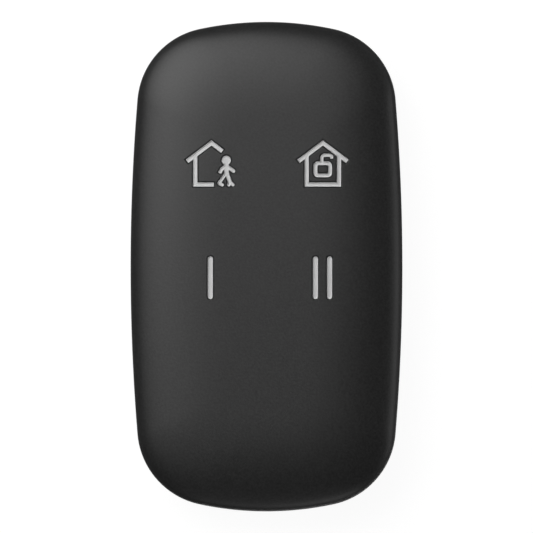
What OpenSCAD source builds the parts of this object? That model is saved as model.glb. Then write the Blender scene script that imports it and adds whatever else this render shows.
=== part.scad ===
// Four-key alarm fob: a soft-touch front over a rigid frame, closed by a rear cover.
// Units are millimetres. X is to the right, Y towards the upper keys, Z out of the key face.
// The fob lies on its rear cover: the rear face is at Z = 0, and the origin is under its middle.

/* [Outline] */
// Overall length along Y
body_length = 75; // [73:0.5:80]
// Overall width across the middle
body_width = 41.66; // [40.66:0.1:44.66]
// Radius of the two long, slightly bowed sides
side_radius = 312; // [220:1:500]
// Radius of the two bowed ends
end_radius = 49.1; // [44.1:0.1:60.1]
// Radius of the four corners
corner_radius = 12.05; // [12.05:0.05:13.05]

/* [Crown] */
// Overall thickness from the rear face to the flat top of the crown
body_thickness = 13; // [13:0.1:14]
// Height of the parting line
parting_z = 6.5; // [6.4:0.05:6.6]
// Drop of the crown from its flat top to the top of the side wall
crown_rise = 3.8; // [3.6:0.1:4]
// Width over which the crown rolls off towards the side wall
crown_roll = 15; // [14:0.1:15.2]
// Corner radius of the flat top of the crown
top_corner = 4.5; // [4:0.1:4.6]
// Fullness of the crown along the face
roll_power = 2.7; // [2.5:0.05:2.9]
// Fullness of the crown along the thickness
rise_power = 1.9; // [1.8:0.05:2]
// Width over which the rear cover rolls off towards its edge
rear_roll = 6.5; // [6:0.1:7]
// Fullness of the rear cover's roll
rear_power = 2.3; // [2.2:0.05:2.5]
// How far the side wall leans in from the parting line to the crown
side_lean = 0.1; // [0:0.02:0.16]

/* [Walls] */
// Thickness of the soft cover
skin = 1.1; // [1:0.05:1.2]
// Wall of the rigid front frame
frame_wall = 1.5; // [1.3:0.05:1.6]
// Floor of the rear cover
rear_floor = 1.6; // [1.5:0.05:1.7]
// Shadow gap in the parting line
parting_gap = 0.3; // [0.2:0.05:0.4]

/* [Keys] */
// Distance of the key centres from the middle line
key_x = 8.58; // [8.38:0.02:8.78]
// Upper key row, from the middle of the fob
upper_y = 15.78; // [15.28:0.1:16.28]
// Lower key row, from the middle of the fob
lower_y = -1.7; // [-2.4:0.1:-1]
// Diameter of a key plunger
key_d = 11; // [10.4:0.1:11.2]
// Gap all round a key plunger
key_gap = 0.15; // [0.1:0.05:0.2]
// How far a key travels
key_travel = 0.35; // [0.25:0.05:0.35]

/* [Signs] */
// Width of the lines of the house signs
sign_line = 0.68; // [0.5:0.02:0.8]
// Width of a bar sign
bar_w = 0.82; // [0.6:0.02:1]
// Length of a bar sign
bar_l = 6.57; // [5.57:0.1:7.07]
// How far the signs lie below the flat top of the crown
sign_recess = 0.34; // [0.32:0.02:0.4]
// Thickness of the sign inlays
sign_depth = 0.5; // [0.4:0.05:0.6]
// Gap all round a sign inlay in its pocket
sign_gap = 0.05; // [0.02:0.01:0.08]

/* [Battery] */
// Diameter of the coin cell
cell_d = 20; // [20:0.1:20.2]
// Thickness of the coin cell
cell_t = 3.2; // [3:0.1:3.2]
// Middle of the battery hatch along Y
hatch_y = -14; // [-14.5:0.1:-12]

/* [Fasteners] */
// Distance of the case screws from the edge of the corner that they are in
screw_in = 7.1; // [6.9:0.1:7.4]
// Screw shank diameter
screw_d = 2; // [1.8:0.1:2.2]
// Diameter of the lanyard bar
lanyard_d = 2; // [1.8:0.1:2.2]

/* [Hidden] */
KEYS = ["away", "disarm", "one", "two"];
KEY_PIECES = ["key", "icon", "switch_base", "switch_dome", "switch_stem", "switch_cover"];
CASE_PIECES = ["soft_cover", "front_frame", "rear_cover", "case_gasket", "case_screws", "lanyard_bar",
    "circuit_board", "radio_chip", "crystal", "loop_antenna", "chip_capacitors", "chip_resistors",
    "plus_contacts", "minus_contact", "coin_cell", "battery_hatch", "hatch_seal"];

$fn = 64;
fine = 180;

// A cut runs past the face it opens, and a joined feature into its wall, by this much
over = 1;
sink = 0.1;

// Levels of the stack, from the rear face to the crown
cell_z = 1.6;
board_z = 5.6;
board_t = 1;
board_top = board_z + board_t;
switch_base_h = 1;
switch_cover_h = 0.5;
switch_top = board_top + switch_base_h + switch_cover_h;
stem_proud = 0.5;
stem_top = switch_top + stem_proud;
touch_gap = 0.05;
pip_z = stem_top + touch_gap;
flange_z = pip_z + 0.15;
flange_t = 0.6;
flange_w = 0.6;
collar_z = flange_z + flange_t + touch_gap;
frame_top = body_thickness - skin;
ceiling_z = frame_top - frame_wall;
pad_drop = 0.7;
key_top = frame_top - pad_drop;
sign_z = body_thickness - sign_recess - sign_depth;

// Rings of the parting line, counted inwards from the outline
edge = 0.2;
front_z = parting_z + edge;
wall_z = body_thickness - crown_rise;
ledge_z = parting_z - parting_gap;
gasket_in = 1.4;
gasket_w = 0.9;
gasket_depth = 0.7;
tongue_in = skin + frame_wall + 0.25;
tongue_w = 1;
tongue_top = parting_z + 1.4;
cavity_in = tongue_in + tongue_w;
board_in = cavity_in + 0.5;

// Battery well and hatch
opening_r = cell_d / 2 + 2.05;
hatch_r = opening_r - 0.1;
collar_r = opening_r + 0.15;
collar_wall = 1.7;
hatch_face = 0.1;
hatch_inner = 1.5;
rim_r = cell_d / 2 + 1.15;
rim_wall = 0.9;
bayonet_t = 0.8;
lug_z = rear_floor + bayonet_t + touch_gap;
lug_angles = [90, 210, 330];
ledge_span = 54;
lug_span = 44;
turn_to_open = 60;
mark_r = 0.45;
mark_depth = 0.25;

// The outline has three tangent arcs in each quarter: side, corner and end
half_w = body_width / 2;
half_l = body_length / 2;
side_c = [half_w - side_radius, 0];
end_c = [0, half_l - end_radius];
centre_span = norm(end_c - side_c);
along = (end_c - side_c) / centre_span;
side_steps = 4;
corner_steps = 16;
end_steps = 4;
outer_steps = 16;
inner_steps = 10;
rear_steps = 10;
tip_steps = 10;

// Places of the repeated features
key_points = [[-key_x, upper_y], [key_x, upper_y], [-key_x, lower_y], [key_x, lower_y]];
screw_angle = 31;
screw_point = corner_c(corner_radius) + (corner_radius - screw_in) * [cos(screw_angle), sin(screw_angle)];
screw_points = [for (x = [-1, 1]) each [for (y = [-1, 1]) [x * screw_point[0], y * screw_point[1]]]];
clamp_x = half_w - 6.2;
clamp_end = 6.5 - half_l;
clamp_points = [[-clamp_x, 9], [clamp_x, 9], [-8, clamp_end], [8, clamp_end]];

function arc(centre, r, from, to, steps, first = 0) =
    [for (i = [first:steps]) let (a = from + (to - from) * i / steps) centre + r * [cos(a), sin(a)]];

function reversed(list) = [for (i = [len(list) - 1:-1:0]) list[i]];

// Centre of the corner arc that lies in by this much from the outline's side and end
function corner_c(in) =
    let (
        side_reach = side_radius - in,
        end_reach = end_radius - in,
        foot = (pow(side_reach, 2) - pow(end_reach, 2) + pow(centre_span, 2)) / (2 * centre_span),
        off = sqrt(pow(side_reach, 2) - pow(foot, 2)))
    side_c + foot * along + off * [-along[1], along[0]];

function direction(from, to) = atan2(to[1] - from[1], to[0] - from[0]);

// One quarter of the outline, moved inwards by inset, with a corner of radius r
function quarter(inset, r) =
    let (c = corner_c(inset + r), side_end = direction(side_c, c), corner_end = direction(end_c, c))
    concat(
        arc(side_c, side_radius - inset, 0, side_end, side_steps),
        arc(c, r, side_end, corner_end, corner_steps, 1),
        arc(end_c, end_radius - inset, corner_end, 90, end_steps, 1));

// The outline moved inwards by inset; its corners are wider than that gives by widen
function outline(inset, widen = 0) =
    let (q = quarter(inset, corner_radius - inset + widen), last = len(q) - 1)
    concat(
        q,
        [for (i = [last - 1:-1:0]) [-q[i][0], q[i][1]]],
        [for (i = [1:last]) [-q[i][0], -q[i][1]]],
        [for (i = [last - 1:-1:1]) [q[i][0], -q[i][1]]]);

function ring(inset, z, widen = 0) = [for (p = outline(inset, widen)) [p[0], p[1], z]];

// Rings of a roll that starts upright at the edge and ends level on the face
function roll_rings(inset, z, rise, roll, across, up, steps, widen = 0) =
    [for (i = [0:steps])
        let (t = 90 * i / steps, share = 1 - pow(cos(t), 2 / across))
        ring(inset + roll * share, z + rise * pow(sin(t), 2 / up), widen * share)];

// Rings of the front at a depth below its outer face, from the parting line up to the crown
function front_rings(depth, steps, rim = 0) =
    let (
        low = depth + side_lean,
        rise = crown_rise - depth,
        widen = top_corner - corner_radius + crown_roll)
    concat(
        [ring(depth + rim, parting_z), ring(depth, front_z)],
        roll_rings(low, wall_z, rise, crown_roll - low, roll_power, rise_power, steps, widen));

// Rings of the rear cover, from its flat face up to the parting line
function rear_rings() =
    let (top = ledge_z - edge)
    concat(
        reversed(roll_rings(0, top, -top, rear_roll, rear_power, rear_power, rear_steps)),
        [ring(edge, ledge_z)]);

// Closed solid through a row of rings, with flat ends
module loft(rings) {
    n = len(rings[0]);
    last = (len(rings) - 1) * n;
    points = [for (r = rings) each r];
    sides = [for (k = [0:len(rings) - 2]) each [for (i = [0:n - 1])
        let (a = k * n + i, b = k * n + (i + 1) % n)
        each [[a, a + n, b], [b, a + n, b + n]]]];
    floor_face = [for (i = [0:n - 1]) i];
    top_face = [for (i = [n - 1:-1:0]) last + i];
    polyhedron(points, concat([floor_face], sides, [top_face]));
}

// Shell between two rows of rings that share the parting line
module shell(inner, outer) {
    loft(concat(reversed(inner), outer));
}

module slab(inset, z0, z1) {
    translate([0, 0, z0])
        linear_extrude(z1 - z0)
            polygon(outline(inset));
}

module band(inset, width, z0, z1) {
    translate([0, 0, z0])
        linear_extrude(z1 - z0)
            difference() {
                polygon(outline(inset));
                polygon(outline(inset + width));
            }
}

module rod(r, z0, z1) {
    translate([0, 0, z0])
        cylinder(r = r, h = z1 - z0);
}

// Rod whose lower edge is cut at 45 degrees
module cut_rod(r, cut, z0, z1) {
    rotate_extrude()
        polygon([[0, z0], [r - cut, z0], [r, z0 + cut], [r, z1], [0, z1]]);
}

// Cone that breaks the edge of a bore in the rear face
module lead_in(r, cut) {
    translate([0, 0, -over])
        cylinder(r1 = r + over + cut, r2 = r, h = over + cut);
}

module tube(r_in, r_out, z0, z1) {
    translate([0, 0, z0])
        rotate_extrude()
            translate([r_in, 0])
                square([r_out - r_in, z1 - z0]);
}

// Part of a tube, centred on an angle
module sector(r_in, r_out, z0, z1, middle, span) {
    translate([0, 0, z0])
        rotate([0, 0, middle - span / 2])
            rotate_extrude(angle = span)
                translate([r_in, 0])
                    square([r_out - r_in, z1 - z0]);
}

module block(size, middle, z0) {
    translate([middle[0] - size[0] / 2, middle[1] - size[1] / 2, z0])
        cube(size);
}

module at_each(points) {
    for (p = points)
        translate([p[0], p[1], 0])
            children();
}

module at_key(k) {
    translate([key_points[k][0], key_points[k][1], 0])
        children();
}

// Outline of a line whose start is round; its end is round too, or flat when it is drawn in one step
function capsule(p, q, r, last_steps) =
    let (a = direction(p, q))
    concat(arc(p, r, a + 90, a + 270, tip_steps), arc(q, r, a - 90, a + 90, last_steps));

// Outline of a box with round corners
function round_box(w, h, r, steps = 8) = concat(
    arc([w / 2 - r, h / 2 - r], r, 0, 90, steps),
    arc([r - w / 2, h / 2 - r], r, 90, 180, steps),
    arc([r - w / 2, r - h / 2], r, 180, 270, steps),
    arc([w / 2 - r, r - h / 2], r, 270, 360, steps));

// A limb of w wide through a row of points, widened by grow; cut makes its last end flat
module limb(points, w, grow, cut = false) {
    last = len(points) - 2;
    for (i = [0:last]) {
        flat = cut && i == last;
        a = direction(points[i], points[i + 1]);
        reach = flat ? grow : 0;
        tip = points[i + 1] + reach * [cos(a), sin(a)];
        polygon(capsule(points[i], tip, w / 2 + grow, flat ? 1 : tip_steps));
    }
}

// The house signs are drawn from the ridge of their roof; grow widens every line on both sides
roof_pitch = 37;
roof_span = 3.95;
short_roof = 1.9;
house_h = 7.13;
house_w = 5.62;
wall_top = -2.4;
step_end = 0.39;

function slope(x) = -x * tan(roof_pitch);

module roof(left, right, grow) {
    out = grow / cos(roof_pitch);
    under = -sign_line / cos(roof_pitch) - out;
    lean = (sign_line + 2 * grow) * sin(roof_pitch);
    l = left + grow * cos(roof_pitch);
    r = right + grow * cos(roof_pitch);
    polygon([
        [0, out], [-l, slope(l) + out], [lean - l, slope(l - lean) + under],
        [0, under], [r - lean, slope(r - lean) + under], [r, slope(r) + out]]);
}

// Upright box from corner to corner, widened by grow
module wall(low, high, grow) {
    translate([low[0] - grow, low[1] - grow])
        square([high[0] - low[0] + 2 * grow, high[1] - low[1] + 2 * grow]);
}

module open_house(grow) {
    left = -house_w / 2;
    roof(roof_span, short_roof, grow);
    wall([left, -house_h], [left + sign_line, wall_top], grow);
    wall([left, -house_h], [step_end, sign_line - house_h], grow);
}

module walker(grow) {
    head = [2.28, -3.08];
    hip = [2.3, -5.17];
    heel = [1.18, -6.57];
    ankle = [2.85, -6.47];
    translate(head)
        circle(r = 0.72 + grow);
    limb([head - [0, 0.56], hip], 0.75, grow);
    limb([[2.25, -3.92], [1.56, -4.46], [1.25, -5.06]], 0.55, grow, cut = true);
    limb([[2.34, -4], [3.37, -4.72]], 0.58, grow);
    limb([hip - [0.13, 0], heel], 0.52, grow);
    limb([heel, [1.66, -6.84]], 0.54, grow);
    limb([hip + [0.12, 0], ankle], 0.63, grow);
    limb([ankle + [-0.05, 0.1], [2.66, -6.85]], 0.54, grow);
    limb([ankle + [0.04, 0.05], [3.3, -6.84]], 0.51, grow);
}

module closed_house(grow) {
    side = house_w / 2;
    inner = side - sign_line;
    roof(roof_span, roof_span, grow);
    difference() {
        wall([-side, -house_h], [side, wall_top], grow);
        wall([-inner, sign_line - house_h], [inner, 0], -grow);
    }
}

module open_padlock(grow) {
    g = 2 * grow;
    shackle = [[-0.14, -3.5], [-0.14, -2.62], [-0.07, -2.46], [0.16, -2.31], [1.08, -2.31], [1.34, -2.48],
        [1.37, -2.85]];
    translate([-0.01, -4.47])
        difference() {
            polygon(round_box(2.87 + g, 2.48 + g, 0.71 + grow));
            polygon(round_box(1.61 - g, 1.26 - g, 0.2));
        }
    limb(shackle, 0.54, grow, cut = true);
}

module bars(offsets, grow) {
    reach = (bar_l - bar_w) / 2;
    for (x = offsets)
        limb([[x, -reach], [x, reach]], bar_w, grow);
}

// The sign of key k round the centre of its key
module sign(k, grow = 0) {
    if (k == 0)
        translate([0.16, house_h / 2]) {
            open_house(grow);
            walker(grow);
        }
    if (k == 1)
        translate([0.05, house_h / 2]) {
            closed_house(grow);
            open_padlock(grow);
        }
    if (k == 2)
        bars([0], grow);
    if (k == 3)
        bars([-1.08, 1.08], grow);
}

// Pieces of the case

module soft_cover() {
    color([0.1, 0.1, 0.1])
        difference() {
            union() {
                shell(front_rings(skin, inner_steps), front_rings(0, outer_steps, edge));
                at_each(key_points)
                    rod(key_d / 2 - 0.2, key_top, frame_top + sink);
            }
            for (k = [0:3])
                at_key(k)
                    translate([0, 0, sign_z])
                        linear_extrude(sign_depth + over)
                            sign(k, sign_gap);
        }
}

// Screw bosses, board clamps, stiffening ribs and key guides hang from the inside of the frame
boss_r = 2.3;
clamp_r = 1;
rib = [0.8, 17, 1.2];
rib_points = [for (x = [-9, -3, 3, 9]) [x, -20]];
key_bore = key_d / 2 + key_gap;
guide_wall = 1.4;
guide_rib = [1, 0.9];
guide_rib_y = key_d / 2 + 0.75;
relief = 2;
boss_bore_depth = 3;

module front_frame() {
    color([0.16, 0.16, 0.17])
        difference() {
            union() {
                shell(front_rings(skin + frame_wall, inner_steps), front_rings(skin, inner_steps));
                at_each(key_points) {
                    rod(key_bore + guide_wall, collar_z, ceiling_z + sink);
                    block([guide_rib[0], guide_rib[1], ceiling_z - flange_z], [0, guide_rib_y], flange_z);
                }
                at_each(screw_points)
                    rod(boss_r, parting_z, ceiling_z + sink);
                at_each(clamp_points)
                    rod(clamp_r, board_top, ceiling_z - sink);
                at_each(rib_points)
                    block([rib[0], rib[1], rib[2] + sink], [0, 0], ceiling_z - rib[2]);
            }
            at_each(key_points) {
                rod(key_bore, flange_z + flange_t, body_thickness);
                translate([0, 0, ceiling_z + 0.5])
                    cylinder(r1 = key_bore, r2 = key_bore + relief, h = relief);
            }
            at_each(screw_points)
                rod(screw_d / 2 + 0.02, parting_z - over, parting_z + boss_bore_depth);
        }
}

// Lanyard pocket in the rear face near the lower end, with a bar across it
pocket = [9, 5];
pocket_corner = 1;
pocket_y = 5.6 - half_l;
pocket_z = 4.4;
pocket_wall = 1.8;
pocket_back = 1.1;
pocket_roof = 0.6;
lanyard_z = 1.5;
pin_seat = 1.25;

module bar_along_x(d, length) {
    translate([-length / 2, pocket_y, lanyard_z])
        rotate([0, 90, 0])
            cylinder(d = d, h = length);
}

function pocket_ring(grow, z) =
    [for (p = round_box(pocket[0] + 2 * grow, pocket[1] + 2 * grow, pocket_corner + grow))
        [p[0], p[1] + pocket_y, z]];

post_r = 2.6;
rest_r = 1.25;
head_r = 1.9;
head_cut = 0.3;
head_z = 0.35;
head_seat = 1.9;
rim_cut = 0.3;

module rear_cover() {
    floor_in = rear_floor - 0.5;
    ledge_top = rear_floor + bayonet_t;
    pocket_box = [pocket[0] + 2 * pocket_wall, pocket[1] + pocket_back, pocket_z + pocket_roof - floor_in];
    color([0.14, 0.14, 0.15])
        difference() {
            union() {
                difference() {
                    loft(rear_rings());
                    slab(cavity_in, rear_floor, ledge_z + over);
                }
                band(tongue_in, tongue_w, ledge_z - 0.5, tongue_top);
                block(pocket_box, [0, pocket_y + pocket_back / 2], floor_in);
                at_each(screw_points)
                    rod(post_r, floor_in, parting_z);
                at_each(clamp_points)
                    rod(rest_r, floor_in, board_z);
                translate([0, hatch_y, 0]) {
                    tube(collar_r, collar_r + collar_wall, floor_in, board_z - pocket_roof);
                    for (a = lug_angles)
                        sector(opening_r - 0.7, collar_r + 0.5, rear_floor, ledge_top, a, ledge_span);
                }
            }
            band(gasket_in - 0.05, gasket_w + 0.1, ledge_z - gasket_depth, ledge_z + over);
            translate([0, hatch_y, 0]) {
                rod(opening_r, -over, rear_floor);
                lead_in(opening_r, rim_cut);
                for (a = [90, 90 - turn_to_open])
                    rotate([0, 0, a])
                        translate([opening_r + 1.4, 0, 0])
                            rod(mark_r, -over, mark_depth);
            }
            at_each(screw_points) {
                rod(head_r + 0.15, -over, head_seat);
                lead_in(head_r + 0.15, rim_cut);
                rod(screw_d / 2 + 0.15, 0, parting_z + over);
            }
            loft([pocket_ring(over + rim_cut, -over), pocket_ring(0, rim_cut), pocket_ring(0, pocket_z)]);
            bar_along_x(lanyard_d + 0.02, pocket[0] + 2 * pin_seat + 0.1);
        }
}

module case_gasket() {
    color([0.3, 0.32, 0.34])
        band(gasket_in, gasket_w, ledge_z - gasket_depth + 0.02, parting_z);
}

module case_screws() {
    shank_top = parting_z + boss_bore_depth - 0.4;
    recess = [2.3, 0.55, 0.85];
    color([0.62, 0.62, 0.64])
        at_each(screw_points)
            difference() {
                union() {
                    cut_rod(head_r, head_cut, head_z, head_seat - 0.02);
                    rod(screw_d / 2, head_z, shank_top);
                }
                for (a = [45, 135])
                    rotate([0, 0, a])
                        block([recess[0], recess[1], recess[2] + head_z], [0, 0], 0);
            }
}

module lanyard_bar() {
    color([0.7, 0.7, 0.72])
        bar_along_x(lanyard_d, pocket[0] + 2 * pin_seat);
}

// Board and the pieces on it

module circuit_board() {
    color([0.05, 0.3, 0.16])
        difference() {
            slab(board_in, board_z, board_top);
            at_each(screw_points)
                rod(post_r + 0.3, board_z - over, board_top + over);
        }
}

chip_y = 7;

module radio_chip() {
    size = [5, 5, 0.9];
    color([0.08, 0.08, 0.09])
        difference() {
            block(size, [0, chip_y], board_top);
            translate([0.6 - size[0] / 2, chip_y + size[1] / 2 - 0.6, board_top + size[2] - 0.1])
                cylinder(r = 0.3, h = over);
        }
}

module crystal() {
    middle = [0, chip_y + 5.6];
    color([0.75, 0.75, 0.76]) {
        block([3.2, 2.5, 0.4], middle, board_top);
        block([2.8, 2.1, 0.8], middle, board_top);
    }
}

// Flat metal loop that stands on two legs at the upper end of the board
antenna_x = 7;
antenna_low = half_l - 12.5;
antenna_high = half_l - 6.1;
antenna_w = 1.2;
antenna_t = 0.5;
antenna_lift = 1.5;

module loop_antenna() {
    z = board_top + antenna_lift;
    color([0.78, 0.74, 0.6]) {
        for (x = [-antenna_x, antenna_x]) {
            block([antenna_w, antenna_w, antenna_lift + antenna_t], [x, antenna_low], board_top);
            block([antenna_w, antenna_high - antenna_low + antenna_w, antenna_t],
                [x, (antenna_low + antenna_high) / 2], z);
        }
        block([2 * antenna_x, antenna_w, antenna_t], [0, antenna_high], z);
    }
}

chip_pitch = 1.8;

module chip_row(count, y, size) {
    for (i = [0:count - 1])
        block(size, [(i - (count - 1) / 2) * chip_pitch, y], board_top);
}

module chip_capacitors() {
    size = [0.8, 1.6, 0.8];
    color([0.6, 0.46, 0.3]) {
        chip_row(3, chip_y - 4.4, size);
        chip_row(4, chip_y + 14.5, size);
    }
}

module chip_resistors() {
    size = [0.8, 1.6, 0.5];
    color([0.12, 0.12, 0.13]) {
        chip_row(3, chip_y - 8.2, size);
        chip_row(3, chip_y + 10.4, size);
    }
}

// Sprung metal strips that reach from the board to the cell
contact_w = 4;
contact_t = 0.25;

module plus_contacts() {
    r = cell_d / 2 + 0.08;
    back = r + 0.3;
    foot_x = r + 2;
    tip_z = 3.6;
    bend_z = 4.1;
    top_z = 4.5;
    color([0.8, 0.72, 0.45])
        for (side = [0, 180])
            translate([0, hatch_y, 0])
                rotate([0, 0, side])
                    translate([0, contact_w / 2, 0])
                        rotate([90, 0, 0])
                            linear_extrude(contact_w)
                                polygon([
                                    [foot_x, board_z], [back, board_z], [back, top_z], [r, bend_z],
                                    [back, tip_z], [back + contact_t, tip_z], [r + contact_t, bend_z],
                                    [back + contact_t, top_z], [back + contact_t, board_z - contact_t],
                                    [foot_x, board_z - contact_t]]);
}

module minus_contact() {
    low = cell_z + cell_t + 0.02;
    tip_z = low + 0.2;
    color([0.8, 0.72, 0.45])
        translate([-contact_w / 2, hatch_y, 0])
            rotate([90, 0, 90])
                linear_extrude(contact_w)
                    polygon([
                        [7, board_z], [3.5, board_z], [-0.5, low + contact_t], [-2, tip_z + contact_t],
                        [-2, tip_z], [-0.5, low], [3.6, board_z - contact_t], [7, board_z - contact_t]]);
}

module coin_cell() {
    r = cell_d / 2;
    cap_r = r - 1.2;
    crimp = 0.35;
    color([0.74, 0.74, 0.75])
        translate([0, hatch_y, cell_z])
            rotate_extrude()
                polygon([
                    [0, 0], [r - 0.3, 0], [r, 0.3], [r, cell_t - 0.6], [r - crimp, cell_t - 0.25],
                    [cap_r, cell_t - 0.25], [cap_r, cell_t - 0.1], [cap_r - 0.2, cell_t], [0, cell_t]]);
}

// Battery hatch, turned with a coin and held by three bayonet lugs

hatch_cut = 0.25;
coin_r = 16;
coin_slot = [1.9, 0.8];
groove_z = [0.45, 1.25];
groove_depth = 0.7;

module battery_hatch() {
    color([0.17, 0.17, 0.18])
        translate([0, hatch_y, 0])
            difference() {
                union() {
                    cut_rod(hatch_r, hatch_cut, hatch_face, hatch_inner);
                    tube(rim_r - rim_wall, rim_r, hatch_inner - 0.2, lug_z + bayonet_t);
                    for (a = lug_angles)
                        sector(rim_r - rim_wall / 2, hatch_r, lug_z, lug_z + bayonet_t, a, lug_span);
                }
                tube(hatch_r - groove_depth, hatch_r + over, groove_z[0], groove_z[1]);
                translate([0, 0, hatch_face + coin_slot[1] - coin_r])
                    rotate([90, 0, 0])
                        cylinder(r = coin_r, h = coin_slot[0], center = true);
                translate([0, hatch_r - 1.6, 0])
                    rod(mark_r, -over, hatch_face + mark_depth);
                for (a = [0, 90])
                    rotate([0, 0, a])
                        block([4, 0.8, over], [0, 0], hatch_inner - 0.15);
            }
}

module hatch_seal() {
    seal_r = groove_depth / 2 + 0.01;
    color([0.05, 0.05, 0.05])
        translate([0, hatch_y, (groove_z[0] + groove_z[1]) / 2])
            rotate_extrude()
                translate([hatch_r - groove_depth / 2 + 0.04, 0])
                    circle(r = seal_r);
}

// Pieces of one key and its switch

pip_r = 1.5;
key_wall = 0.9;
cross_t = 0.7;

module key_plunger(k) {
    r = key_d / 2;
    color([0.2, 0.2, 0.21])
        at_key(k)
            difference() {
                union() {
                    rod(r, flange_z, key_top);
                    rod(r + flange_w, flange_z, flange_z + flange_t);
                    rod(pip_r, pip_z, key_top);
                }
                difference() {
                    rod(r - key_wall, flange_z - over, key_top - key_wall);
                    rod(pip_r, pip_z - over, key_top);
                    for (a = [0, 90])
                        rotate([0, 0, a])
                            block([key_d, cross_t, key_top], [0, 0], flange_z + flange_t);
                }
                translate([0, r + touch_gap, flange_z - over])
                    translate([-guide_rib[0] / 2 - 0.25, 0, 0])
                        cube([guide_rib[0] + 0.5, flange_w + over, flange_t + 2 * over]);
            }
}

module key_icon(k) {
    color([0.75, 0.75, 0.75])
        at_key(k)
            translate([0, 0, sign_z])
                linear_extrude(sign_depth)
                    sign(k);
}

switch_w = 6.2;
dome_seat = 0.25;
dome_r = 2.35;
stem_r = 1.6;
stem_foot_r = 2.1;

module switch_base(k) {
    leg = [switch_w + 1.6, 0.7, 0.25];
    color([0.1, 0.1, 0.11])
        at_key(k)
            difference() {
                union() {
                    block([switch_w, switch_w, switch_base_h], [0, 0], board_top);
                    for (y = [-2.25, 2.25])
                        block(leg, [0, y], board_top);
                }
                rod(dome_r + 0.15, board_top + dome_seat, switch_top);
            }
}

// Thin sprung dome that snaps through when the stem presses it
module switch_dome(k) {
    rise = key_travel + 0.15;
    t = 0.12;
    ball = (dome_r * dome_r + rise * rise) / (2 * rise);
    color([0.78, 0.78, 0.8])
        at_key(k)
            translate([0, 0, board_top + dome_seat + touch_gap])
                rotate_extrude()
                    difference() {
                        intersection() {
                            translate([0, rise - ball])
                                circle(r = ball, $fn = fine);
                            square([dome_r, rise + over]);
                        }
                        translate([0, rise - ball])
                            circle(r = ball - t, $fn = fine);
                    }
}

module switch_stem(k) {
    foot_z = switch_top - switch_cover_h - touch_gap;
    color([0.65, 0.62, 0.52])
        at_key(k) {
            rod(stem_r, foot_z, stem_top);
            rod(stem_foot_r, foot_z, foot_z + 0.3);
        }
}

module switch_cover(k) {
    under = switch_top - switch_cover_h;
    color([0.72, 0.72, 0.74])
        at_key(k)
            difference() {
                block([switch_w, switch_w, switch_cover_h], [0, 0], under);
                rod(stem_r + 0.15, under - over, switch_top + over);
                rod(stem_foot_r + 0.15, under - over, under + 0.3);
            }
}

soft_cover();
front_frame();
rear_cover();
case_gasket();
case_screws();
lanyard_bar();
circuit_board();
radio_chip();
crystal();
loop_antenna();
chip_capacitors();
chip_resistors();
plus_contacts();
minus_contact();
coin_cell();
battery_hatch();
hatch_seal();
for (k = [0:3]) {
    key_plunger(k);
    key_icon(k);
    switch_base(k);
    switch_dome(k);
    switch_stem(k);
    switch_cover(k);
}
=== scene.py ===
# Dresses the four-key alarm fob: a seamless soft-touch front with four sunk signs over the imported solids.
# Shapes are worked out in millimetres and turned into metres when a mesh is made.
# X is to the right, Y towards the upper keys and Z out of the key face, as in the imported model.
import math

import bmesh
import bpy
import numpy as np
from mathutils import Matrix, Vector
from mathutils.geometry import delaunay_2d_cdt


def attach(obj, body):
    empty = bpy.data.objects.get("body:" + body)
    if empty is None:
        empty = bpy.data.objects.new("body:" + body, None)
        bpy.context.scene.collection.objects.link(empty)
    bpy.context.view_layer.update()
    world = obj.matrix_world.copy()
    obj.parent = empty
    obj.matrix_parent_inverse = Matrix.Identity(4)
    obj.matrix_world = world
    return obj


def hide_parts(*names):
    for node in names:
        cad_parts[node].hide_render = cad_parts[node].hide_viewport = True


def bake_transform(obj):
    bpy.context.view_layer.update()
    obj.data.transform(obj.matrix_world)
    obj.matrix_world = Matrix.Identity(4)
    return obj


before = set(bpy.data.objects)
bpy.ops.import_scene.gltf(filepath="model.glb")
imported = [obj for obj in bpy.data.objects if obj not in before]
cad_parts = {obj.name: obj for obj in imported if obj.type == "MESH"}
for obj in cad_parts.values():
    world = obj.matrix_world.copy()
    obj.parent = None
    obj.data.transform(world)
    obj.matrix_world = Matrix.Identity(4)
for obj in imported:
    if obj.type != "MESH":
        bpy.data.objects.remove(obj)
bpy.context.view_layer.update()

scene = bpy.context.scene
MM = 0.001

# Outline of the fob: side, corner and end arcs that touch each other
HALF_WIDTH = 20.83
HALF_LENGTH = 37.5
SIDE_RADIUS = 312.0
END_RADIUS = 49.1
CORNER_RADIUS = 12.05

# Lower edge and side wall of the front; the inner face of the cover is drawn only as far up as its rise
THICKNESS = 13.0
PARTING_Z = 6.5
EDGE = 0.2
FRONT_Z = PARTING_Z + EDGE
COVER_THICKNESS = 1.1
INNER_RISE = 1.0
SIDE_LEAN = 0.1

# Crown: its rise over the wall, the width of its roll, the corner radius of its flat top, and its fullness
# along the face and along the thickness
CROWN_RISE = 3.8
WALL_Z = THICKNESS - CROWN_RISE
CROWN_ROLL = 15.0
TOP_CORNER = 4.5
ROLL_POWER = 2.7
RISE_POWER = 1.9

# Keys: centres, and how far round a key its zone of the cover reaches
KEYS = {"away": (-8.58, 15.78), "disarm": (8.58, 15.78), "one": (-8.58, -1.7), "two": (8.58, -1.7)}
ZONE_RADIUS = 8.3

# Profile of a sign's edge as (distance outwards from the sign's outline, depth below the crown)
COVER_LIP = [(0.22, 0.0), (0.17, 0.012), (0.135, 0.05), (0.12, 0.12), (0.12, 0.7)]
SIGN_EDGE = [(-0.02, 0.8), (-0.02, 0.17), (-0.035, 0.145), (-0.065, 0.15), (-0.12, 0.21), (-0.17, 0.27)]
SIGN_FLOOR = (-0.22, 0.29)

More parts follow.
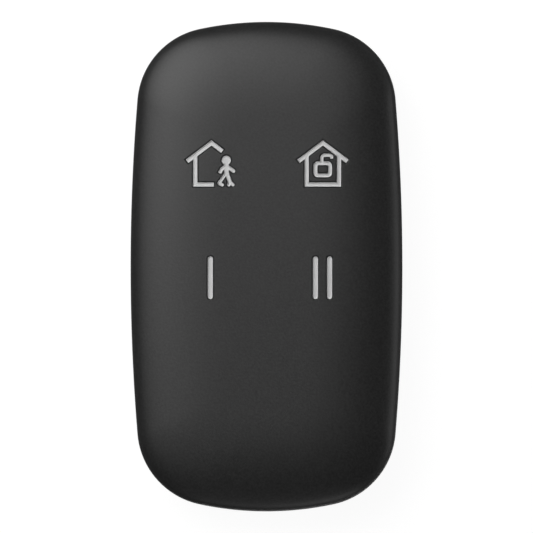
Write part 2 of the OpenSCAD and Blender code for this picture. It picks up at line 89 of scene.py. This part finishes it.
# Soft lights as (azimuth from +X towards +Y, elevation above the floor, width in metres, watts).
# Those below the floor shine up through it, because it casts no shadow.
LAMPS = [
    (112, 60, 0.34, 0.444),
    (135, 45, 0.34, 0.458),
    (158, 45, 0.34, 0.113),
    (180, 60, 0.34, 0.098),
    (0, 10, 0.16, 0.072),
    (20, -10, 0.16, 0.121),
    (340, -10, 0.16, 0.105),
    (45, -10, 0.16, 0.087),
    (290, 3, 0.16, 0.066),
    (270, 3, 0.16, 0.032),
    (270, 15, 0.34, 0.057),
    (295, -58, 0.2, 0.9),
]
LAMP_DISTANCE = 0.3

# How white the floor and the world look to the camera, in mirrored light, and as a light of their own
FLOOR_WHITE = 0.94
WORLD_WHITE = 1.0
MIRRORED_WHITE = 0.02
WORLD_FILL = 0.01

# Joining of the outer CAD pieces: corners this near in millimetres, flat faces and sharp edges in degrees
JOIN = 0.001
FLAT_DEGREES = 0.5
SHARP_DEGREES = 35

# Rounding of their edges: steps across an edge, and the place of the hatch's axis
ROUND_STEPS = 3
HATCH_Y = -14.0

# Fineness of the meshes
SIDE_STEPS, CORNER_STEPS, END_STEPS = 12, 36, 12
EDGE_STEPS = 5
WALL_STEPS = 5
RIM_SHARE = 0.2
RIM_STEPS = 26
ZONE_STEPS = 120
SURROUND_PITCH = 1.0
ZONE_PITCH = 0.45
SIGN_PITCH = 0.3

# Search for the crown's ring through a point: halvings of the span, and the step for the slope there
HALVINGS = 40
SLOPE_STEP = 1e-4

# Points count as one when they agree to so many digits, or lie as near as this. Nothing is divided by less
# than the tiny value, and a flat top is level within the flatness.
SAME_DIGITS = 4
SAME_POINT = 1e-6
TINY = 1e-9
FLATNESS = 0.01

# Loops: their shortest edge, the share of the pitch that stays clear along them, the least cosine of half a
# turn that a moved corner is stretched by, and the rounds that draw turned edges together
SHORTEST_EDGE = 0.02
CLEARANCE = 0.6
SHARPEST_TURN = 0.6
UNTURN_ROUNDS = 4

# Finishes: the part of the noise that they use, and the detail of their blotches
NOISE_RANGE = (0.3, 0.7)
BLOTCH_DETAIL = 3.0

# Metals: grain as (size, height), its detail, the size of blotches, and the dark, light and worn shares of
# their tone
METAL_GRAIN = (0.08, 0.001)
METAL_DETAIL = 3.0
METAL_BLOTCH = 1.2
METAL_DARK, METAL_LIGHT, METAL_WORN = 0.92, 1.06, 1.2

# Worn edges: their reach, the cosines of the turn at which wear starts and is full, the size and detail of
# its patches, and how much of the worn tone shows at most
WEAR_REACH = 0.25
WEAR_TURN = (0.99, 0.85)
WEAR_PATCH = 1.6
WEAR_DETAIL = 4.0
MOST_WEAR = 0.8

SIDE_CENTRE = np.array([HALF_WIDTH - SIDE_RADIUS, 0.0])
END_CENTRE = np.array([0.0, HALF_LENGTH - END_RADIUS])


# The outline and the crown


def arc(centre, radius, start, stop, steps):
    angles = np.linspace(start, stop, steps + 1)
    return centre + radius * np.column_stack([np.cos(angles), np.sin(angles)])


def corner_centre(depth):
    """Centre (x, y) of the corner arc that lies in by depth from the side arc and the end arc."""
    span = np.linalg.norm(END_CENTRE - SIDE_CENTRE)
    along = (END_CENTRE - SIDE_CENTRE) / span
    side_reach = SIDE_RADIUS - depth
    end_reach = END_RADIUS - depth
    foot = (side_reach**2 - end_reach**2 + span**2) / (2 * span)
    off = np.sqrt(side_reach**2 - foot**2)
    x = SIDE_CENTRE[0] + foot * along[0] - off * along[1]
    y = SIDE_CENTRE[1] + foot * along[1] + off * along[0]
    return x, y


def ring_sizes(share):
    """Depth and corner radius of the crown's ring at a share of its roll, 0 at the wall and 1 on top."""
    depth = SIDE_LEAN + (CROWN_ROLL - SIDE_LEAN) * share
    return depth, CORNER_RADIUS - SIDE_LEAN + (TOP_CORNER - CORNER_RADIUS + SIDE_LEAN) * share


def outline(depth, corner=None):
    """The outline moved inwards by depth, counter-clockwise from the middle of the right side."""
    radius = CORNER_RADIUS - depth if corner is None else corner
    centre = np.array(corner_centre(depth + radius))
    side_stop = math.atan2(*(centre - SIDE_CENTRE)[::-1])
    corner_stop = math.atan2(*(centre - END_CENTRE)[::-1])
    quarter = np.vstack([
        arc(SIDE_CENTRE, SIDE_RADIUS - depth, 0, side_stop, SIDE_STEPS),
        arc(centre, radius, side_stop, corner_stop, CORNER_STEPS)[1:],
        arc(END_CENTRE, END_RADIUS - depth, corner_stop, math.pi / 2, END_STEPS)[1:],
    ])
    return np.vstack([
        quarter,
        quarter[-2::-1] * (-1, 1),
        quarter[1:] * (-1, -1),
        quarter[-2:0:-1] * (1, -1),
    ])


def inset(point, share):
    """How far points in the first quarter lie inside the rings at their shares, and the way inwards."""
    depth, corner = ring_sizes(share)
    x, y = point.T
    centre_x, centre_y = corner_centre(depth + corner)
    side_stop = np.arctan2(centre_y - SIDE_CENTRE[1], centre_x - SIDE_CENTRE[0])
    corner_stop = np.arctan2(centre_y - END_CENTRE[1], centre_x - END_CENTRE[0])
    angle = np.arctan2(y - centre_y, x - centre_x)
    in_corner = (angle > side_stop) & (angle < corner_stop)
    arms = []
    for mid_x, mid_y, radius in (
        (*SIDE_CENTRE, SIDE_RADIUS - depth),
        (*END_CENTRE, END_RADIUS - depth),
        (centre_x, centre_y, corner),
    ):
        reach = np.maximum(np.hypot(x - mid_x, y - mid_y), TINY)
        arms.append((radius - reach, (mid_x - x) / reach, (mid_y - y) / reach))
    by_side = arms[0][0] < arms[1][0]
    within, way_x, way_y = (
        np.where(in_corner, rounded, np.where(by_side, side, end))
        for side, end, rounded in zip(*arms)
    )
    return within, np.column_stack([way_x, way_y])


def crown(xy):
    """Height and normal of the front's outer face over points in the plane."""
    point = np.abs(xy)
    low = np.zeros(len(point))
    high = np.ones(len(point))
    for _ in range(HALVINGS):
        middle = (low + high) / 2
        outside = inset(point, middle)[0] < 0
        low, high = np.where(outside, low, middle), np.where(outside, middle, high)
    share = low
    ahead, inward = inset(point, share + SLOPE_STEP)
    behind, _ = inset(point, share - SLOPE_STEP)
    share_per_mm = 2 * SLOPE_STEP / np.maximum(behind - ahead, TINY)
    left = 1 - share
    rise = (1 - left**ROLL_POWER) ** (1 / RISE_POWER)
    steepness = ROLL_POWER * left ** (ROLL_POWER - 1) * share_per_mm
    outward = -inward * np.where(xy < 0, -1.0, 1.0) * steepness[:, None]
    upward = RISE_POWER * rise ** (RISE_POWER - 1) / CROWN_RISE
    normal = np.column_stack([outward, upward])
    return WALL_Z + CROWN_RISE * rise, normal / np.linalg.norm(normal, axis=1)[:, None]


def sunk(xy, depth):
    """Points at a depth below the crown."""
    height, _ = crown(xy)
    return np.column_stack([xy, height - depth])


# Flat loops of points, and the areas between them


def circle(centre, radius, steps):
    return arc(np.array(centre), radius, 0, 2 * math.pi, steps)[:-1]


def inside(points, loops):
    """Which points lie inside the loops, counted even-odd."""
    x, y = points.T
    odd = np.zeros(len(points), bool)
    for loop in loops:
        for (ax, ay), (bx, by) in zip(loop, np.roll(loop, -1, axis=0)):
            if ay != by:
                crosses = (ay > y) != (by > y)
                odd ^= crosses & (x < ax + (y - ay) * (bx - ax) / (by - ay))
    return odd


def shifted(loop, distance):
    """A loop moved to its right by distance; edges that turn over are drawn together."""
    before = loop - np.roll(loop, 1, axis=0)
    after = np.roll(loop, -1, axis=0) - loop
    before /= np.linalg.norm(before, axis=1)[:, None]
    after /= np.linalg.norm(after, axis=1)[:, None]
    across = before + after
    across /= np.maximum(np.linalg.norm(across, axis=1), SAME_POINT)[:, None]
    right = np.column_stack([across[:, 1], -across[:, 0]])
    stretch = 1 / np.maximum(np.sum(across * after, axis=1), SHARPEST_TURN)
    moved = loop + right * (distance * stretch)[:, None]
    for _ in range(UNTURN_ROUNDS):
        ahead = np.roll(moved, -1, axis=0)
        turned = np.sum((ahead - moved) * after, axis=1) < 0
        if not turned.any():
            break
        middle = (moved + ahead) / 2
        moved = np.where(turned[:, None], middle, moved)
        moved = np.where(np.roll(turned, 1)[:, None], np.roll(middle, 1, axis=0), moved)
    return moved


def evenly(loop, longest):
    """A loop with its long edges divided and its shortest ones dropped."""
    kept = [loop[0]]
    for point in loop[1:]:
        if np.linalg.norm(point - kept[-1]) > SHORTEST_EDGE:
            kept.append(point)
    divided = []
    for a, b in zip(kept, kept[1:] + kept[:1]):
        steps = max(1, math.ceil(np.linalg.norm(b - a) / longest))
        divided += [a + (b - a) * i / steps for i in range(steps)]
    return np.array(divided)


def grid(low, high, pitch):
    """Points in staggered rows over a box, all at one pitch from their neighbours."""
    rows = []
    for i, y in enumerate(np.arange(low[1], high[1], pitch * math.sqrt(0.75))):
        x = np.arange(low[0] + pitch / 2 * (i % 2), high[0], pitch)
        rows.append(np.column_stack([x, np.full(len(x), y)]))
    return np.vstack(rows)


def fill(loops, pitch):
    """Triangles inside loops, with a regular pattern of points between them.

    Returns the points, the triangles, and the numbers of each loop's points."""
    fixed = np.vstack(loops)
    pattern = grid(fixed.min(axis=0), fixed.max(axis=0), pitch)
    pattern = pattern[inside(pattern, loops)]
    gaps = np.array([np.min(np.sum((fixed - p) ** 2, axis=1)) for p in pattern])
    pattern = pattern[gaps > (CLEARANCE * pitch) ** 2]
    edges = []
    first = 0
    for loop in loops:
        numbers = np.arange(first, first + len(loop))
        edges += np.column_stack([numbers, np.roll(numbers, -1)]).tolist()
        first += len(loop)
    flat = [Vector(p) for p in np.vstack([fixed, pattern])]
    points, _, triangles, origins, _, _ = delaunay_2d_cdt(flat, edges, [], 0, SAME_POINT)
    points = np.array(points)
    triangles = np.array(triangles)
    triangles = triangles[inside(points[triangles].mean(axis=1), loops)]
    place = {old: new for new, olds in enumerate(origins) for old in olds}
    loop_rows = []
    first = 0
    for loop in loops:
        loop_rows.append([place[i] for i in range(first, first + len(loop))])
        first += len(loop)
    return points, triangles.tolist(), loop_rows


class Skin:
    """Points, faces and known normals of one piece."""

    def __init__(self):
        self.points = []
        self.faces = []
        self.normals = {}

    def add(self, points, normals=None):
        """Adds points in millimetres and returns their numbers."""
        numbers = list(range(len(self.points), len(self.points) + len(points)))
        self.points.extend(np.asarray(points, float).tolist())
        if normals is not None:
            self.normals.update(zip(numbers, normals))
        return numbers

    def strip(self, row, following):
        """Closed band of faces between two rows of one length; corners that fall together count once."""
        for i in range(len(row)):
            j = (i + 1) % len(row)
            corners = [row[i], row[j], following[j], following[i]]
            face = {tuple(np.round(self.points[corner], SAME_DIGITS)): corner for corner in corners}
            if len(face) > 2:
                self.faces.append(list(face.values()))

    def patch(self, loops, pitch, depth=0.0):
        """Fills the area between loops on the crown, or below it, and returns the rows of the loops."""
        flat, triangles, rows = fill(loops, pitch)
        height, normal = crown(flat)
        numbers = self.add(np.column_stack([flat, height - depth]), normal)
        self.faces += [[numbers[i] for i in t] for t in triangles]
        return [[numbers[i] for i in row] for row in rows]

    def build(self, name, material):
        mesh = bpy.data.meshes.new(name)
        mesh.from_pydata((np.array(self.points) * MM).tolist(), [], self.faces)
        mesh.shade_smooth()
        normals = np.array([v.normal for v in mesh.vertices])
        for number, normal in self.normals.items():
            normals[number] = normal
        mesh.normals_split_custom_set_from_vertices(normals.tolist())
        mesh.materials.append(material)
        piece = bpy.data.objects.new(name, mesh)
        scene.collection.objects.link(piece)
        return piece


def top_loops(node):
    """Outlines of a CAD node's flat top in millimetres, with the solid on their left."""
    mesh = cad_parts[node].data
    points = np.array([v.co[:] for v in mesh.vertices]) / MM
    top = points[:, 2].max()
    names = [tuple(p) for p in np.round(points[:, :2], SAME_DIGITS)]
    border = set()
    for face in mesh.polygons:
        corners = list(face.vertices)
        if np.all(points[corners, 2] > top - FLATNESS):
            for a, b in zip(corners, corners[1:] + corners[:1]):
                if (names[b], names[a]) in border:
                    border.remove((names[b], names[a]))
                else:
                    border.add((names[a], names[b]))
    following = dict(sorted(border))
    loops = []
    while following:
        start = min(following)
        loop = []
        point = start
        while point in following:
            loop.append(point)
            point = following.pop(point)
        loops.append(evenly(np.array(loop), SIGN_PITCH))
    return loops


# Finishes


SOCKETS = {"metallic": "Metallic", "specular_ior_level": "Specular IOR Level"}


def new_finish(name):
    material = bpy.data.materials.new(name)
    material.use_nodes = True
    tree = material.node_tree
    return material, tree, tree.nodes["Principled BSDF"]


def noise(tree, size, detail=2.0, stretch=(1, 1, 1)):
    """Noise with features of a size in millimetres, fixed to the piece."""
    place = tree.nodes.new("ShaderNodeTexCoord")
    drawn = tree.nodes.new("ShaderNodeMapping")
    drawn.inputs["Scale"].default_value = [1 / (size * MM * s) for s in stretch]
    pattern = tree.nodes.new("ShaderNodeTexNoise")
    pattern.inputs["Scale"].default_value = 1.0
    pattern.inputs["Detail"].default_value = detail
    tree.links.new(place.outputs["Object"], drawn.inputs["Vector"])
    tree.links.new(drawn.outputs["Vector"], pattern.inputs["Vector"])
    return pattern.outputs["Fac"]


def blend_tones(tree, share, dark, light):
    ramp = tree.nodes.new("ShaderNodeValToRGB")
    for stop, place, tone in zip(ramp.color_ramp.elements, NOISE_RANGE, (dark, light)):
        stop.position = place
        stop.color = (*tone, 1)
    tree.links.new(share, ramp.inputs["Fac"])
    return ramp.outputs["Color"]


def spread(tree, share, low, high, between=NOISE_RANGE):
    """A value that runs from low to high while a share runs between two limits."""
    span = tree.nodes.new("ShaderNodeMapRange")
    for socket, value in zip(("From Min", "From Max", "To Min", "To Max"), (*between, low, high)):
        span.inputs[socket].default_value = value
    tree.links.new(share, span.inputs["Value"])
    return span.outputs["Result"]


def worn_edges(tree, reach, tone, worn):
    """A tone that goes over to a worn one, unevenly, on edges within a reach in millimetres."""
    rounded = tree.nodes.new("ShaderNodeBevel")
    rounded.inputs["Radius"].default_value = reach * MM
    face = tree.nodes.new("ShaderNodeNewGeometry")
    turn = tree.nodes.new("ShaderNodeVectorMath")
    turn.operation = "DOT_PRODUCT"
    tree.links.new(rounded.outputs["Normal"], turn.inputs[0])
    tree.links.new(face.outputs["Normal"], turn.inputs[1])
    uneven = tree.nodes.new("ShaderNodeMath")
    uneven.operation = "MULTIPLY"
    tree.links.new(spread(tree, turn.outputs["Value"], 0.0, 1.0, WEAR_TURN), uneven.inputs[0])
    tree.links.new(spread(tree, noise(tree, WEAR_PATCH, WEAR_DETAIL), 0.0, MOST_WEAR), uneven.inputs[1])
    mixed = tree.nodes.new("ShaderNodeMix")
    mixed.data_type = "RGBA"
    mixed.inputs["B"].default_value = (*worn, 1)
    tree.links.new(uneven.outputs[0], mixed.inputs["Factor"])
    tree.links.new(tone, mixed.inputs["A"])
    return mixed.outputs["Result"]


def finish(
    name, dark, light, rough, grain, blotch, detail=2.0, stretch=(1, 1, 1), worn=None, **sockets
):
    """Finish between two tones and two roughnesses, with a fine grain of a size and height in millimetres.

    The tone drifts in blotches of a size in millimetres, or with the grain where that size is None."""
    material, tree, shader = new_finish(name)
    fine = noise(tree, grain[0], detail, stretch)
    drift = noise(tree, blotch, BLOTCH_DETAIL) if blotch else fine
    tone = blend_tones(tree, drift, dark, light)
    if worn is not None:
        tone = worn_edges(tree, WEAR_REACH, tone, worn)
    tree.links.new(tone, shader.inputs["Base Color"])
    tree.links.new(spread(tree, fine, *rough), shader.inputs["Roughness"])
    bump = tree.nodes.new("ShaderNodeBump")
    bump.inputs["Distance"].default_value = grain[1] * MM
    tree.links.new(fine, bump.inputs["Height"])
    tree.links.new(bump.outputs["Normal"], shader.inputs["Normal"])
    for socket, value in sockets.items():
        shader.inputs[SOCKETS[socket]].default_value = value
    return material


def grey(value, warm=0.0):
    return (value * (1 + warm), value, value * (1 - warm))


SOFT_TOUCH = finish(
    "soft_touch", grey(0.013), grey(0.022), (0.36, 0.4), (0.34, 0.012), None, specular_ior_level=0.42)
SIGN_GREY = finish("sign_grey", grey(0.575), grey(0.61), (0.38, 0.5), (0.2, 0.004), 1.5)
COVER_PLASTIC = finish(
    "cover_plastic", grey(0.026), grey(0.034), (0.42, 0.6), (0.28, 0.02), 7.0, worn=grey(0.07))
FRAME_PLASTIC = finish("frame_plastic", grey(0.05), grey(0.065), (0.45, 0.6), (0.3, 0.01), 6.0)
KEY_PLASTIC = finish("key_plastic", grey(0.08), grey(0.1), (0.4, 0.55), (0.3, 0.008), 3.0)
SEAL_RUBBER = finish("seal_rubber", grey(0.018), grey(0.026), (0.55, 0.75), (0.2, 0.01), 2.0)
CHIP_BLACK = finish("chip_black", grey(0.025), grey(0.035), (0.5, 0.65), (0.1, 0.006), 1.0)
SWITCH_PLASTIC = finish("switch_plastic", grey(0.035), grey(0.045), (0.45, 0.6), (0.15, 0.006), 1.5)
STEM_PLASTIC = finish(
    "stem_plastic", (0.46, 0.43, 0.34), (0.54, 0.5, 0.41), (0.4, 0.5), (0.15, 0.004), 1.0)
CAPACITOR = finish(
    "capacitor_body", (0.38, 0.26, 0.15), (0.46, 0.33, 0.2), (0.3, 0.45), (0.08, 0.003), 0.6)
RESISTOR = finish("resistor_body", grey(0.04), grey(0.06), (0.25, 0.4), (0.08, 0.003), 0.6)
BOARD_GREEN = finish(
    "board_green", (0.012, 0.12, 0.055), (0.022, 0.17, 0.085), (0.25, 0.4), (0.9, 0.01), 2.2)


def metal(name, tone, rough, stretch, warm=0.0):
    """Metal finish whose grain is drawn out along an axis by a stretch."""
    dark, light, worn = (grey(tone * share, warm) for share in (METAL_DARK, METAL_LIGHT, METAL_WORN))
    return finish(
        name, dark, light, rough, METAL_GRAIN, METAL_BLOTCH, METAL_DETAIL, stretch, worn, metallic=1.0)


SCREW_STEEL = metal("screw_steel", 0.4, (0.4, 0.55), (1, 1, 1))
BAR_STEEL = metal("bar_steel", 0.6, (0.32, 0.46), (24, 1, 1))
CRYSTAL_METAL = metal("crystal_metal", 0.6, (0.2, 0.35), (10, 1, 1))
ANTENNA_METAL = metal("antenna_metal", 0.58, (0.25, 0.4), (1, 1, 1), 0.18)
CONTACT_METAL = metal("contact_metal", 0.58, (0.2, 0.35), (1, 16, 1), 0.34)
CELL_STEEL = metal("cell_steel", 0.62, (0.16, 0.3), (1, 20, 1))
DOME_STEEL = metal("dome_steel", 0.62, (0.15, 0.28), (12, 1, 1))
SWITCH_STEEL = metal("switch_steel", 0.55, (0.2, 0.36), (16, 1, 1))

NODE_FINISHES = {
    "front_frame": FRAME_PLASTIC,
    "rear_cover": COVER_PLASTIC,
    "case_gasket": SEAL_RUBBER,
    "case_screws": SCREW_STEEL,
    "lanyard_bar": BAR_STEEL,
    "circuit_board": BOARD_GREEN,
    "radio_chip": CHIP_BLACK,
    "crystal": CRYSTAL_METAL,
    "loop_antenna": ANTENNA_METAL,
    "chip_capacitors": CAPACITOR,
    "chip_resistors": RESISTOR,
    "plus_contacts": CONTACT_METAL,
    "minus_contact": CONTACT_METAL,
    "coin_cell": CELL_STEEL,
    "battery_hatch": COVER_PLASTIC,
    "hatch_seal": SEAL_RUBBER,
}
KEY_FINISHES = {
    "key": KEY_PLASTIC,
    "switch_base": SWITCH_PLASTIC,
    "switch_dome": DOME_STEEL,
    "switch_stem": STEM_PLASTIC,
    "switch_cover": SWITCH_STEEL,
}
for key in KEYS:
    NODE_FINISHES.update({f"{key}_{piece}": look for piece, look in KEY_FINISHES.items()})
for node, look in NODE_FINISHES.items():
    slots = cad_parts[node].data.materials
    slots.clear()
    slots.append(look)


# Pieces shown as they were drawn, with joined corners and even shading


def joined_copy(node):
    """A piece with the shape and finish of a CAD node, its corners joined and its curves smooth."""
    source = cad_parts[node]
    solid = bmesh.new()
    solid.from_mesh(source.data)
    solid.transform(source.matrix_world)
    bmesh.ops.remove_doubles(solid, verts=solid.verts, dist=JOIN * MM)
    bmesh.ops.dissolve_limit(
        solid, angle_limit=math.radians(FLAT_DEGREES), verts=solid.verts, edges=solid.edges)
    solid.verts.index_update()
    points = [v.co[:] for v in solid.verts]
    faces = [[v.index for v in face.verts] for face in solid.faces]
    solid.free()
    mesh = bpy.data.meshes.new(f"{node}_skin")
    mesh.from_pydata(points, [], faces)
    mesh.shade_smooth()
    mesh.set_sharp_from_angle(angle=math.radians(SHARP_DEGREES))
    mesh.materials.append(NODE_FINISHES[node])
    piece = bpy.data.objects.new(f"{node}_skin", mesh)
    scene.collection.objects.link(piece)
    return piece


def rounded_copy(node, body, edge, reach=math.inf, deepest=math.inf):
    """Shows an outer CAD piece with its sharp edges rounded over a width in millimetres.

    Edges farther than reach from the hatch's axis, or above the height deepest, stay as they are."""
    piece = joined_copy(node)
    mesh = piece.data
    ends = np.array([v.co[:] for v in mesh.vertices]) / MM
    shown = (np.hypot(ends[:, 0], ends[:, 1] - HATCH_Y) < reach) & (ends[:, 2] < deepest)
    chosen = mesh.attributes.new("bevel_weight_edge", "FLOAT", "EDGE")
    for line in mesh.edges:
        chosen.data[line.index].value = float(line.use_edge_sharp and all(shown[i] for i in line.vertices))
    bevel = piece.modifiers.new("rounded_edges", "BEVEL")
    bevel.width = edge * MM
    bevel.segments = ROUND_STEPS
    bevel.limit_method = "WEIGHT"
    even = piece.modifiers.new("even_shading", "WEIGHTED_NORMAL")
    even.keep_sharp = True
    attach(piece, body)
    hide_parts(node)


rounded_copy("rear_cover", "fob_case", edge=0.12, reach=14.5, deepest=0.32)
rounded_copy("battery_hatch", "hatch_body", edge=0.12, deepest=0.38)
rounded_copy("case_screws", "fob_case", edge=0.06)
rounded_copy("lanyard_bar", "fob_case", edge=0.1)


def sprung_dome(key):
    """Shows a switch dome as a joined copy in place of its CAD node."""
    node = f"{key}_switch_dome"
    piece = joined_copy(node)
    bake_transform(piece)
    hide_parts(node)


for key, centre in KEYS.items():
    sprung_dome(key)


# The soft cover: its surround, and a round zone over each key


def rim_rows(skin):
    """The cover's lower edge, its side wall and the steep part of its roll; returns the last row."""
    section = [(COVER_THICKNESS, FRONT_Z + INNER_RISE), (COVER_THICKNESS, PARTING_Z)]
    for angle in np.linspace(0, math.pi / 2, EDGE_STEPS):
        section.append((EDGE * (1 - math.sin(angle)), FRONT_Z - EDGE * math.cos(angle)))
    for share in np.linspace(0, 1, WALL_STEPS)[1:-1]:
        section.append((SIDE_LEAN * share, FRONT_Z + (WALL_Z - FRONT_Z) * share))
    rows = []
    for depth, height in section:
        flat = outline(depth)
        rows.append(skin.add(np.column_stack([flat, np.full(len(flat), height)])))
    last = math.acos((1 - RIM_SHARE) ** (ROLL_POWER / 2))
    for angle in np.linspace(0, last, RIM_STEPS)[:-1]:
        flat = outline(*ring_sizes(1 - math.cos(angle) ** (2 / ROLL_POWER)))
        height, normal = crown(flat)
        rows.append(skin.add(np.column_stack([flat, height]), normal))
    for row, following in zip(rows, rows[1:]):
        skin.strip(row, following)
    return rows[-1]


def cover_surround():
    """The cover from its lower edge to the rims of the four zones."""
    skin = Skin()
    rim = rim_rows(skin)
    loops = [outline(*ring_sizes(RIM_SHARE))]
    loops += [circle(centre, ZONE_RADIUS, ZONE_STEPS) for centre in KEYS.values()]
    rows = skin.patch(loops, SURROUND_PITCH)
    skin.strip(rim, rows[0])
    piece = skin.build("cover_surround", SOFT_TOUCH)
    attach(piece, "fob_case")
    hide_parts("soft_cover")


def cover_zone(key, centre, signs):
    """The cover over a key, with the pocket of its sign."""
    skin = Skin()
    lips = [shifted(loop, COVER_LIP[0][0]) for loop in signs]
    rows = skin.patch([circle(centre, ZONE_RADIUS, ZONE_STEPS)] + lips, ZONE_PITCH)
    for loop, row in zip(signs, rows[1:]):
        for distance, depth in COVER_LIP[1:]:
            deeper = skin.add(sunk(shifted(loop, distance), depth))
            skin.strip(row, deeper)
            row = deeper
    piece = skin.build(f"cover_zone_{key}", SOFT_TOUCH)
    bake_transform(piece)
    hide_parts("soft_cover")


def sign_inlay(key, signs):
    """A sign as a shallow channel with sloping flanks, filled to its edges."""
    skin = Skin()
    floor = [shifted(loop, SIGN_FLOOR[0]) for loop in signs]
    floor_rows = skin.patch(floor, SIGN_PITCH, SIGN_FLOOR[1])
    for loop, floor_row in zip(signs, floor_rows):
        rows = [skin.add(sunk(shifted(loop, distance), depth)) for distance, depth in SIGN_EDGE]
        for row, following in zip(rows, rows[1:] + [floor_row]):
            skin.strip(row, following)
    piece = skin.build(f"{key}_sign", SIGN_GREY)
    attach(piece, f"{key}_key_body")
    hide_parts(f"{key}_icon")


cover_surround()
for key, centre in KEYS.items():
    sign_loops = top_loops(f"{key}_icon")
    cover_zone(key, centre, sign_loops)
    sign_inlay(key, sign_loops)


# Stage, light and camera


def strength_by_ray(tree, camera, mirrored, other=0.0):
    """One strength for what the camera or glass sees, one for mirrored light and one for other light."""
    path = tree.nodes.new("ShaderNodeLightPath")
    total = None
    shares = {"Is Camera Ray": camera, "Is Transmission Ray": camera, "Is Glossy Ray": mirrored}
    for ray, share in shares.items():
        step = tree.nodes.new("ShaderNodeMath")
        step.operation = "MULTIPLY_ADD"
        step.inputs[1].default_value = share - other
        step.inputs[2].default_value = other
        tree.links.new(path.outputs[ray], step.inputs[0])
        if total is not None:
            tree.links.new(total, step.inputs[2])
        total = step.outputs[0]
    return total


def stage_floor():
    """White light table that shows the fob's shadow; it is clear from below."""
    half = 3.0
    height = -0.05 * MM
    blotch = 40.0
    mesh = bpy.data.meshes.new("floor")
    mesh.from_pydata(
        [(-half, -half, height), (half, -half, height), (half, half, height), (-half, half, height)],
        [], [(0, 1, 2, 3)])
    material, tree, shader = new_finish("floor_white")
    tone = blend_tones(tree, noise(tree, blotch), grey(0.12), grey(0.13))
    tree.links.new(tone, shader.inputs["Base Color"])
    shader.inputs["Roughness"].default_value = 0.9
    shader.inputs["Specular IOR Level"].default_value = 0.1
    shader.inputs["Emission Color"].default_value = (1, 1, 1, 1)
    tree.links.new(strength_by_ray(tree, FLOOR_WHITE, MIRRORED_WHITE), shader.inputs["Emission Strength"])
    side = tree.nodes.new("ShaderNodeNewGeometry")
    clear = tree.nodes.new("ShaderNodeBsdfTransparent")
    either = tree.nodes.new("ShaderNodeMixShader")
    tree.links.new(side.outputs["Backfacing"], either.inputs[0])
    tree.links.new(shader.outputs[0], either.inputs[1])
    tree.links.new(clear.outputs[0], either.inputs[2])
    tree.links.new(either.outputs[0], tree.nodes["Material Output"].inputs["Surface"])
    mesh.materials.append(material)
    floor = bpy.data.objects.new("floor", mesh)
    floor.visible_shadow = False
    scene.collection.objects.link(floor)


def studio_world():
    world = bpy.data.worlds.new("studio")
    scene.world = world
    world.use_nodes = True
    tree = world.node_tree
    backdrop = tree.nodes["Background"]
    backdrop.inputs["Color"].default_value = (1, 1, 1, 1)
    strength = strength_by_ray(tree, WORLD_WHITE, MIRRORED_WHITE, WORLD_FILL)
    tree.links.new(strength, backdrop.inputs["Strength"])


def soft_box(azimuth, elevation, width, power):
    """Round soft light that faces the fob from a direction."""
    turn, lift = math.radians(azimuth), math.radians(elevation)
    away = Vector((math.cos(turn) * math.cos(lift), math.sin(turn) * math.cos(lift), math.sin(lift)))
    light = bpy.data.lights.new("soft_box", "AREA")
    light.shape = "DISK"
    light.size = width
    light.energy = power
    lamp = bpy.data.objects.new("soft_box", light)
    lamp.location = away * LAMP_DISTANCE
    lamp.rotation_euler = (-away).to_track_quat("-Z", "Y").to_euler()
    lamp.visible_camera = False
    scene.collection.objects.link(lamp)


def studio_camera():
    """Camera far off on a long lens, which sees the fob's parting line as wide as the photograph does."""
    lens = 1600.0
    photo_width = 81.66 * MM
    middle_y = 0.026 * MM
    camera = bpy.data.cameras.new("camera")
    camera.lens = lens
    camera.sensor_width = 36.0
    camera.clip_start = 0.05
    camera.clip_end = 20.0
    holder = bpy.data.objects.new("camera", camera)
    holder.location = (0, middle_y, FRONT_Z * MM + photo_width * lens / camera.sensor_width)
    scene.collection.objects.link(holder)
    scene.camera = holder


stage_floor()
studio_world()
for lamp in LAMPS:
    soft_box(*lamp)
studio_camera()
scene.view_settings.view_transform = "Standard"
